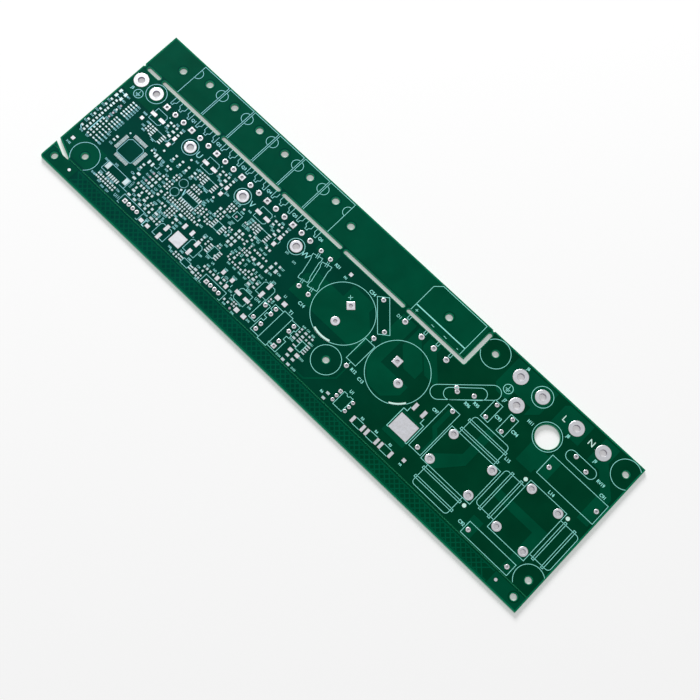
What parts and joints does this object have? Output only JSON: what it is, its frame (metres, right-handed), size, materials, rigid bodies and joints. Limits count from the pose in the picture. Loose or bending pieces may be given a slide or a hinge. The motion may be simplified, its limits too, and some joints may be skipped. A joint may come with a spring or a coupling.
{
  "type": "printed circuit board",
  "caption": "Long bare green circuit board of a three-phase power driver, with tinned lands and pads, drilled holes, routed slots and a scored break-off rail.",
  "frame": {"origin": "middle of the board's underside", "axes": "+X along the long side towards the mains end, +Y from the break-off rail towards the device strip, +Z out of the face that takes the parts"},
  "size_m": [0.293, 0.0856, 0.0017],
  "materials": {
    "board": "satin solder mask over glass laminate",
    "tinned_copper": "bright solder coat",
    "legend": "printed ink",
    "bare_laminate": "cut glass laminate"
  },
  "bodies": {
    "root": {"board": "board", "bulk_capacitor_lands": "tinned_copper", "ceramic_capacitor_pads": "tinned_copper", "choke_lands": "tinned_copper", "connector_pads": "tinned_copper", "controller_pads": "tinned_copper", "converter_pads": "tinned_copper", "crystal_pads": "tinned_copper", "diode_pads": "tinned_copper", "earth_lands": "tinned_copper", "electrolytic_pads": "tinned_copper", "fiducials": "tinned_copper", "film_capacitor_lands": "tinned_copper", "gate_driver_pads": "tinned_copper", "header_lands": "tinned_copper", "isolator_lands": "tinned_copper", "logic_pads": "tinned_copper", "mains_terminal_lands": "tinned_copper", "motor_terminal_lands": "tinned_copper", "rectifier_lands": "tinned_copper", "resistor_lands": "tinned_copper", "shunt_pads": "tinned_copper", "surge_lands": "tinned_copper", "tab_transistor_pads": "tinned_copper", "transformer_lands": "tinned_copper", "transistor_lands": "tinned_copper"}
  },
  "joints": []
}
